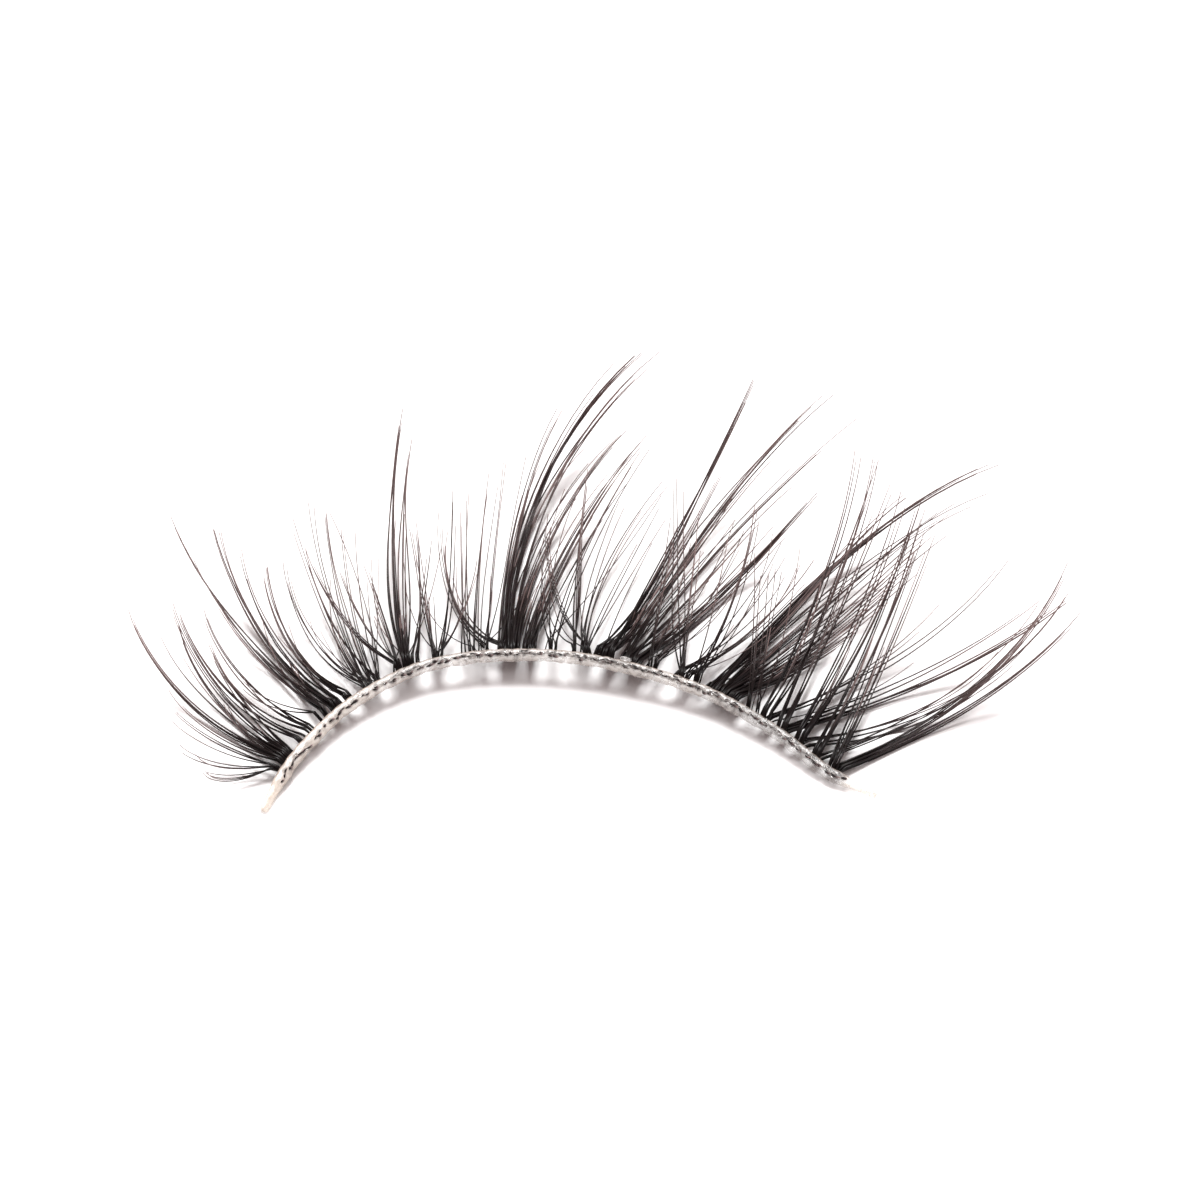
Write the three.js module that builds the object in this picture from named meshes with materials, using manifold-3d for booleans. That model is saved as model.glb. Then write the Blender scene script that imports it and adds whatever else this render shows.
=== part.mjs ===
// A false eyelash strip: a clear ribbon bent to the curve of an eyelid, a thread along its face,
// and locks of curled lashes seated along its outer edge. It lies on a flat surface, on the ends
// of the ribbon and the bellies of its main locks. +X runs towards the outer corner of the eye,
// +Y the way that the lashes point, and +Z up.
import * as THREE from 'three';
import { mergeVertices } from 'three/addons/utils/BufferGeometryUtils.js';
import Module from 'manifold-3d';

const wasm = await Module();
wasm.setup();

// Driving sizes, in millimetres
const bandSpan = 28.2; // straight distance between the ends of the two tails
const bandDepth = 8.2; // how far the band bows out from the line between its ends
const bandRise = 1.35; // height of the band's middle over its ends
const bandWidth = 0.85;
const bandThickness = 0.22;
const tailWidth = 0.36;
const tailThickness = 0.16;
const threadRadius = 0.07;
const longestLash = 19;
const wispRootRadius = 0.17;
const wispTipRadius = 0.05;
const headDepth = 0.3;
const headHeight = 0.32;
const seatGap = 0.05; // clearance between the band and what is seated on it

// Driving angles, in degrees
const bandTilt = 15; // the ribbon's outer edge lies higher than its inner edge
const lashCurl = 75; // how steeply a lash points up at its tip

// Shares
const curlPower = 1.45; // above 1, a lash bends more and more towards its tip
const tailShare = 0.045; // length of each bare tail, as a share of the band's length
const threadPlace = 0.17; // distance of the thread from the ribbon's centre line, as a share of its width

// Mesh fineness
const bandSteps = 36;
const wispSteps = 7;
const wispSides = 5;
const threadSides = 5;
const finePerStep = 4;

// The band's course from the inner corner to the outer: along is a share of bandSpan,
// bow a share of bandDepth and rise a share of bandRise.
const bandCourse = [
  { along: -0.500, bow: 0.00, rise: 0.00 },
  { along: -0.470, bow: 0.22, rise: 0.25 },
  { along: -0.429, bow: 0.43, rise: 0.49 },
  { along: -0.356, bow: 0.70, rise: 0.69 },
  { along: -0.242, bow: 0.93, rise: 0.88 },
  { along: -0.101, bow: 1.00, rise: 1.00 },
  { along: 0.048, bow: 0.95, rise: 1.00 },
  { along: 0.213, bow: 0.77, rise: 0.80 },
  { along: 0.336, bow: 0.50, rise: 0.54 },
  { along: 0.419, bow: 0.25, rise: 0.27 },
  { along: 0.500, bow: 0.12, rise: 0.00 },
];

// The locks, in order along the band. at and span are the head's middle and length, as shares of
// the band's length. azimuth, reach and lean are given for the lock's left edge, middle and right
// edge: azimuth is the way that a lash leaves the band, in degrees from +X, reach its length as a
// share of longestLash, and lean the sideways tilt of its curl, in degrees to its right.
// belly is the height of its lowest stretch and tier the height of its head, as shares of bandRise,
// and body the thickness of its wisps, as a share of the full thickness.
const locks = [
  { name: 'inner_low', at: 0.062, span: 0.014, azimuth: [196, 175, 157], reach: [0.21, 0.24, 0.27],
    lean: [-5, -10, -14], belly: 0.22, tier: 0.05, body: 0.7, wisps: 3 },
  { name: 'inner_fan', at: 0.089, span: 0.028, azimuth: [140, 134, 128], reach: [0.57, 0.46, 0.42],
    lean: [0, 0, 0], belly: 0.05, tier: -0.05, body: 1.0, wisps: 4 },
  { name: 'inner_pair', at: 0.135, span: 0.018, azimuth: [139, 138, 138], reach: [0.48, 0.47, 0.45],
    lean: [4, 4, 3], belly: 0.10, tier: -0.10, body: 1.0, wisps: 2 },
  { name: 'inner_curl', at: 0.1545, span: 0.010, azimuth: [160, 158, 156], reach: [0.20, 0.20, 0.19],
    lean: [-10, -10, -10], belly: 0.60, tier: 0.25, body: 0.7, wisps: 2 },
  { name: 'inner_tall', at: 0.190, span: 0.048, azimuth: [127, 129, 130], reach: [0.67, 0.62, 0.47],
    lean: [-6, 3, 15], belly: 0.00, tier: 0.00, body: 1.0, wisps: 4 },
  { name: 'cross_left', at: 0.248, span: 0.026, azimuth: [107, 105, 98], reach: [0.53, 0.49, 0.42],
    lean: [-12, -5, 3], belly: 0.14, tier: -0.14, body: 0.7, wisps: 3 },
  { name: 'spike', at: 0.300, span: 0.028, azimuth: [121, 101, 97], reach: [0.31, 0.71, 0.36],
    lean: [-6, 14, -2], belly: 0.40, tier: 0.16, body: 1.0, wisps: 3 },
  { name: 'small_pair', at: 0.343, span: 0.016, azimuth: [89, 89, 88], reach: [0.41, 0.44, 0.46],
    lean: [-2, -3, -4], belly: 0.40, tier: 0.00, body: 0.7, wisps: 2 },
  { name: 'small_trio', at: 0.393, span: 0.034, azimuth: [92, 91, 88], reach: [0.51, 0.52, 0.59],
    lean: [-1, 7, 8], belly: 0.30, tier: 0.00, body: 0.7, wisps: 3 },
  { name: 'grand', at: 0.452, span: 0.050, azimuth: [92, 89, 79], reach: [0.72, 1.00, 0.71],
    lean: [15, 34, 29], belly: 0.00, tier: -0.10, body: 1.0, wisps: 5 },
  { name: 'small_knot', at: 0.496, span: 0.014, azimuth: [93, 87, 80], reach: [0.51, 0.58, 0.66],
    lean: [27, 27, 27], belly: 0.68, tier: 0.18, body: 0.7, wisps: 3 },
  { name: 'cross_mid', at: 0.535, span: 0.020, azimuth: [92, 90, 87], reach: [0.53, 0.57, 0.61],
    lean: [3, 20, 38], belly: 0.18, tier: 0.00, body: 0.7, wisps: 3 },
  { name: 'fan_left', at: 0.569, span: 0.024, azimuth: [70, 72, 74], reach: [0.72, 0.81, 0.89],
    lean: [10, 13, 17], belly: 0.10, tier: 0.08, body: 1.0, wisps: 4 },
  { name: 'fan_right', at: 0.606, span: 0.030, azimuth: [73, 68, 50], reach: [0.94, 0.96, 0.71],
    lean: [20, 28, 12], belly: 0.00, tier: -0.10, body: 1.0, wisps: 4 },
  { name: 'mid_tuft', at: 0.638, span: 0.012, azimuth: [78, 68, 60], reach: [0.42, 0.48, 0.44],
    lean: [5, 5, 5], belly: 0.60, tier: 0.18, body: 0.7, wisps: 2 },
  { name: 'mid_sweep', at: 0.682, span: 0.016, azimuth: [88, 70, 55], reach: [0.56, 0.52, 0.48],
    lean: [0, 7, 14], belly: 0.40, tier: 0.00, body: 0.7, wisps: 3 },
  { name: 'mid_up', at: 0.703, span: 0.010, azimuth: [71, 70, 69], reach: [0.49, 0.48, 0.46],
    lean: [-2, -2, -2], belly: 0.60, tier: 0.20, body: 0.7, wisps: 2 },
  { name: 'wing', at: 0.738, span: 0.048, azimuth: [69, 62, 54], reach: [0.69, 0.99, 0.73],
    lean: [24, 34, 34], belly: 0.00, tier: -0.12, body: 1.0, wisps: 5 },
  { name: 'thin_uprights', at: 0.784, span: 0.014, azimuth: [84, 80, 76], reach: [0.42, 0.48, 0.45],
    lean: [0, 0, 0], belly: 0.60, tier: 0.22, body: 0.6, wisps: 2 },
  { name: 'outer_up_1', at: 0.807, span: 0.008, azimuth: [65, 64, 63], reach: [0.72, 0.74, 0.70],
    lean: [-4, -3, -2], belly: 0.55, tier: 0.15, body: 0.7, wisps: 2 },
  { name: 'outer_side_1', at: 0.815, span: 0.008, azimuth: [35, 34, 32], reach: [0.66, 0.68, 0.64],
    lean: [4, 6, 8], belly: 0.05, tier: -0.15, body: 0.7, wisps: 2 },
  { name: 'outer_up_2', at: 0.833, span: 0.008, azimuth: [71, 70, 69], reach: [0.70, 0.73, 0.70],
    lean: [9, 11, 13], belly: 0.35, tier: 0.10, body: 0.7, wisps: 2 },
  { name: 'outer_side_2', at: 0.841, span: 0.008, azimuth: [29, 28, 26], reach: [0.80, 0.83, 0.81],
    lean: [19, 21, 23], belly: 0.04, tier: -0.15, body: 0.7, wisps: 2 },
  { name: 'outer_up_3', at: 0.864, span: 0.008, azimuth: [69, 68, 66], reach: [0.70, 0.72, 0.68],
    lean: [2, 4, 6], belly: 0.50, tier: 0.15, body: 0.7, wisps: 2 },
  { name: 'outer_side_3', at: 0.872, span: 0.008, azimuth: [25, 24, 23], reach: [0.57, 0.56, 0.54],
    lean: [7, 8, 9], belly: 0.02, tier: -0.15, body: 0.7, wisps: 2 },
  { name: 'outer_up_4', at: 0.895, span: 0.008, azimuth: [67, 66, 64], reach: [0.68, 0.70, 0.66],
    lean: [-2, 0, 2], belly: 0.32, tier: 0.12, body: 0.7, wisps: 2 },
  { name: 'outer_side_4', at: 0.903, span: 0.008, azimuth: [22, 21, 20], reach: [0.74, 0.76, 0.72],
    lean: [-5, -3, -1], belly: 0.24, tier: -0.12, body: 0.7, wisps: 2 },
  { name: 'outer_up_5', at: 0.926, span: 0.008, azimuth: [69, 68, 66], reach: [0.68, 0.70, 0.66],
    lean: [5, 7, 9], belly: 0.42, tier: 0.15, body: 0.7, wisps: 2 },
  { name: 'outer_side_5', at: 0.937, span: 0.010, azimuth: [32, 30, 28], reach: [0.79, 0.78, 0.77],
    lean: [-5, 4, 14], belly: 0.00, tier: -0.10, body: 0.7, wisps: 3 },
];

const ribbonMaterial = new THREE.MeshStandardMaterial({ color: 0xe9e6df, roughness: 0.25, metalness: 0 });
const threadMaterial = new THREE.MeshStandardMaterial({ color: 0xb9b6b0, roughness: 0.5, metalness: 0 });
const hairMaterial = new THREE.MeshStandardMaterial({ color: 0x17120f, roughness: 0.45, metalness: 0 });

const radians = THREE.MathUtils.degToRad;
const up = new THREE.Vector3(0, 0, 1);
const tiltSine = Math.sin(radians(bandTilt));
const tiltCosine = Math.cos(radians(bandTilt));

// The tails' undersides lie on the surface, so the centre line starts this far over it.
const tailSeat = (tailWidth * tiltSine + tailThickness * tiltCosine) / 2;

const bandCurve = new THREE.CatmullRomCurve3(
  bandCourse.map(({ along, bow, rise }) => new THREE.Vector3(
    along * bandSpan,
    bow * bandDepth,
    tailSeat + rise * bandRise,
  )),
  false,
  'catmullrom',
  0.5,
);
bandCurve.arcLengthDivisions = 800;
const bandLength = bandCurve.getLength();

// The band's own directions at a share of its length: along it, level and outward, and across the
// ribbon and out of its face, both tilted by bandTilt.
function bandFrame(share) {
  const centre = bandCurve.getPointAt(share);
  const along = bandCurve.getTangentAt(share);
  const outward = new THREE.Vector3().crossVectors(up, along).normalize();
  const across = outward.clone().multiplyScalar(tiltCosine).addScaledVector(up, tiltSine);
  const face = new THREE.Vector3().crossVectors(along, across).normalize();
  return { centre, along, outward, across, face };
}

// 0 on the bare tails, 1 between them, with a soft step at each end.
function fullness(share) {
  const fromEnd = Math.min(share, 1 - share);
  return THREE.MathUtils.smoothstep(fromEnd, tailShare * 0.6, tailShare * 1.4);
}

// Moves every vertex of a straight shape to its place, and leaves only positions, merged.
function reshape(geometry, place) {
  const position = geometry.attributes.position;
  const vertex = new THREE.Vector3();
  for (let i = 0; i < position.count; i += 1) {
    vertex.fromBufferAttribute(position, i);
    const moved = place(vertex);
    position.setXYZ(i, moved.x, moved.y, moved.z);
  }
  geometry.deleteAttribute('normal');
  geometry.deleteAttribute('uv');
  return mergeVertices(geometry, 1e-4);
}

function toSolid(geometry) {
  const mesh = new wasm.Mesh({
    numProp: 3,
    vertProperties: new Float32Array(geometry.attributes.position.array),
    triVerts: new Uint32Array(geometry.index.array),
  });
  return new wasm.Manifold(mesh);
}

function toGeometry(solid) {
  const mesh = solid.getMesh();
  const geometry = new THREE.BufferGeometry();
  geometry.setAttribute('position', new THREE.BufferAttribute(new Float32Array(mesh.vertProperties), 3));
  geometry.setIndex(new THREE.BufferAttribute(new Uint32Array(mesh.triVerts), 1));
  geometry.computeVertexNormals();
  return geometry;
}

// The ribbon: a straight strip bent along the band, narrower and thinner at its tails.
function ribbonGeometry() {
  const strip = new THREE.BoxGeometry(1, 1, 1, bandSteps, 1, 1);
  const geometry = reshape(strip, (vertex) => {
    const share = vertex.x + 0.5;
    const { centre, across, face } = bandFrame(share);
    const full = fullness(share);
    const width = THREE.MathUtils.lerp(tailWidth, bandWidth, full);
    const thickness = THREE.MathUtils.lerp(tailThickness, bandThickness, full);
    return centre.addScaledVector(across, vertex.y * width).addScaledVector(face, vertex.z * thickness);
  });
  geometry.computeVertexNormals();
  return geometry;
}

// The thread: a round rod bent along the ribbon's face, from tail to tail.
function threadGeometry() {
  const rod = new THREE.CylinderGeometry(threadRadius, threadRadius, 1, threadSides, bandSteps);
  const lift = bandThickness / 2 + seatGap + threadRadius;
  const geometry = reshape(rod, (vertex) => {
    const share = THREE.MathUtils.lerp(tailShare * 1.4, 1 - tailShare * 1.4, vertex.y + 0.5);
    const { centre, across, face } = bandFrame(share);
    return centre
      .addScaledVector(across, threadPlace * bandWidth + vertex.z)
      .addScaledVector(face, lift + vertex.x);
  });
  geometry.computeVertexNormals();
  return geometry;
}

// The place of a lock's head: a frame outside the ribbon's outer edge, clear of it by seatGap.
function headFrame(share, tier) {
  const { centre, along, outward } = bandFrame(share);
  const level = new THREE.Vector3().crossVectors(outward, up).normalize();
  const reachOut = (bandWidth * tiltCosine + bandThickness * tiltSine + headDepth) / 2 + seatGap;
  centre.addScaledVector(outward, reachOut);
  centre.z += bandWidth * tiltSine / 2 + tier * bandRise;
  return { centre, along, outward, level };
}

// A lash is a plane curve. It starts along its azimuth, dipped below the level, and turns towards
// its curl direction by an angle that grows with the curlPower-th power of the way along it.
function strandPoints(root, lash, dip) {
  const azimuth = radians(lash.azimuth);
  const lean = radians(lash.lean);
  const turn = radians(lashCurl) + dip;
  const start = new THREE.Vector3(
    Math.cos(azimuth) * Math.cos(dip),
    Math.sin(azimuth) * Math.cos(dip),
    -Math.sin(dip),
  );
  const side = new THREE.Vector3(Math.sin(azimuth), -Math.cos(azimuth), 0);
  const curl = new THREE.Vector3().crossVectors(side, start).multiplyScalar(Math.cos(lean));
  curl.addScaledVector(side, Math.sin(lean));
  const steps = wispSteps * finePerStep;
  const point = root.clone();
  const rings = [];
  for (let i = 0; i <= steps; i += 1) {
    const angle = turn * (i / steps) ** curlPower;
    const direction = start.clone().multiplyScalar(Math.cos(angle)).addScaledVector(curl, Math.sin(angle));
    if (i % finePerStep === 0) {
      rings.push({ point: point.clone(), direction });
    }
    point.addScaledVector(direction, lash.length / steps);
  }
  const across = new THREE.Vector3().crossVectors(start, curl).normalize();
  return { rings, across };
}

// The dip that brings a lash's lowest ring down to the height of its belly, found by halving.
function findDip(root, lash) {
  let low = 0;
  let high = Math.PI / 3;
  for (let i = 0; i < 16; i += 1) {
    const dip = (low + high) / 2;
    const { rings } = strandPoints(root, lash, dip);
    const lowest = Math.min(...rings.map(({ point }) => point.z));
    if (lowest > lash.bellyHeight) {
      low = dip;
    } else {
      high = dip;
    }
  }
  return low;
}

// One wisp: a tapered rod bent along its lash.
function wispSolid(root, lash) {
  const { rings, across } = strandPoints(root, lash, findDip(root, lash));
  const rod = new THREE.CylinderGeometry(
    wispTipRadius / wispRootRadius,
    1,
    1,
    wispSides,
    wispSteps,
  );
  const geometry = reshape(rod, (vertex) => {
    const { point, direction } = rings[Math.round((vertex.y + 0.5) * wispSteps)];
    const other = new THREE.Vector3().crossVectors(across, direction).normalize();
    return point.clone()
      .addScaledVector(across, vertex.x * lash.radius)
      .addScaledVector(other, vertex.z * lash.radius);
  });
  return toSolid(geometry);
}

// The value at a share of the way across a lock, between its left edge, middle and right edge.
function acrossLock([left, middle, right], share) {
  if (share < 0.5) {
    return THREE.MathUtils.lerp(left, middle, share * 2);
  }
  return THREE.MathUtils.lerp(middle, right, share * 2 - 1);
}

// One lock: its wisps fused to a head that follows the ribbon's outer edge.
function lockGeometry(lock) {
  const { centre, along, outward, level } = headFrame(lock.at, lock.tier);
  const headLength = lock.span * bandLength;
  const head = new THREE.BoxGeometry(headLength, headDepth, headHeight);
  let solid = toSolid(reshape(head, (vertex) => centre.clone()
    .addScaledVector(along, vertex.x)
    .addScaledVector(outward, vertex.y)
    .addScaledVector(new THREE.Vector3().crossVectors(along, outward), vertex.z)));
  const radius = wispRootRadius * lock.body;
  for (let i = 0; i < lock.wisps; i += 1) {
    const share = i / (lock.wisps - 1);
    const offset = (share - 0.5) * Math.max(headLength - 2 * radius, 0);
    const root = centre.clone().addScaledVector(level, offset);
    const lash = {
      azimuth: acrossLock(lock.azimuth, share),
      lean: acrossLock(lock.lean, share),
      length: acrossLock(lock.reach, share) * longestLash,
      bellyHeight: radius + lock.belly * bandRise,
      radius,
    };
    solid = solid.add(wispSolid(root, lash));
  }
  return toGeometry(solid);
}

function namedMesh(name, geometry, material) {
  const mesh = new THREE.Mesh(geometry, material);
  mesh.name = name;
  return mesh;
}

const strip = new THREE.Group();
strip.add(namedMesh('clear_band', ribbonGeometry(), ribbonMaterial));
strip.add(namedMesh('knot_thread', threadGeometry(), threadMaterial));
locks.forEach((lock) => strip.add(namedMesh(lock.name, lockGeometry(lock), hairMaterial)));

// The origin is at the middle of the bottom of the strip's box.
const box = new THREE.Box3().setFromObject(strip);
const middle = box.getCenter(new THREE.Vector3());
strip.position.set(-middle.x, -middle.y, -box.min.z);

export default strip;
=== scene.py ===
import bpy
import numpy as np
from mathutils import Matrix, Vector


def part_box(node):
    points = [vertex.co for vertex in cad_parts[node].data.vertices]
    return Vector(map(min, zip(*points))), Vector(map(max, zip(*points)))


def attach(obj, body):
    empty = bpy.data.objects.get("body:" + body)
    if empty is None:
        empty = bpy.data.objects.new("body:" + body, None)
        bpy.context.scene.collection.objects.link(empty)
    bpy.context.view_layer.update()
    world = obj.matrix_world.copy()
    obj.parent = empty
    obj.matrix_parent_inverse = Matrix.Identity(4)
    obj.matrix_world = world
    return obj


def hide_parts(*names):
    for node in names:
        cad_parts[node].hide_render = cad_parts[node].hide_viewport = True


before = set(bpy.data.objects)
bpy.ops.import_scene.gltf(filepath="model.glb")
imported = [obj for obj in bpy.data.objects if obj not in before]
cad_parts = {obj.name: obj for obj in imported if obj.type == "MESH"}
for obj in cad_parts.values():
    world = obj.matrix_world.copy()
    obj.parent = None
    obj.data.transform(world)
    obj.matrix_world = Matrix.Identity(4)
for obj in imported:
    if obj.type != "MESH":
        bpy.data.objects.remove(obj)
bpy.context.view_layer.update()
print("frame loaded:", len(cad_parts), "nodes")

mm = 0.001

# The band's course and the locks repeat the part's own values, in millimetres, degrees and shares.
band = {
    "span": 28.2,
    "depth": 8.2,
    "rise": 1.35,
    "width": 0.85,
    "thickness": 0.22,
    "tailWidth": 0.36,
    "tailThickness": 0.16,
    "tailShare": 0.045,
    "tilt": 15,
    "steps": 36,
    "along": [-0.5, -0.47, -0.429, -0.356, -0.242, -0.101, 0.048, 0.213, 0.336, 0.419, 0.5],
    "bow": [0, 0.22, 0.43, 0.7, 0.93, 1, 0.95, 0.77, 0.5, 0.25, 0.12],
    "height": [0, 0.25, 0.49, 0.69, 0.88, 1, 1, 0.8, 0.54, 0.27, 0],
}

lash = {
    "longest": 19,
    "curl": 75,
    "curlPower": 1.45,
    "headDepth": 0.3,
    "headHeight": 0.32,
    "seatGap": 0.05,
    "radius": 0.050,
    "tipRadius": 0.016,
    "rootSwell": 0.3,    # how much thicker a fibre is at its root
    "rootReach": 0.42,   # how far a fibre's root runs back under the ribbon
    "rootScatter": 0.45,   # how far roots lie above or below each other, as a share of the head's height
    "crowding": 0.6,     # how much of its share of the head a wisp's roots spread over
    "pull": [0.05, 0.8],   # where along a fibre its wisp starts to draw it in, and where it has it
    "thinning": 0.42,    # how much thinner a fibre is from half its length on
    "strayThin": 0.8,
    "thickness": [0.8, 1.15],
    "hookPower": 5,
    "floorGap": 0.1,
    "bellyScatter": 0.3,
    "segments": 17,
    "rootSegments": 3,
    "sides": 5,
    "seed": 11,
}

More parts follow.
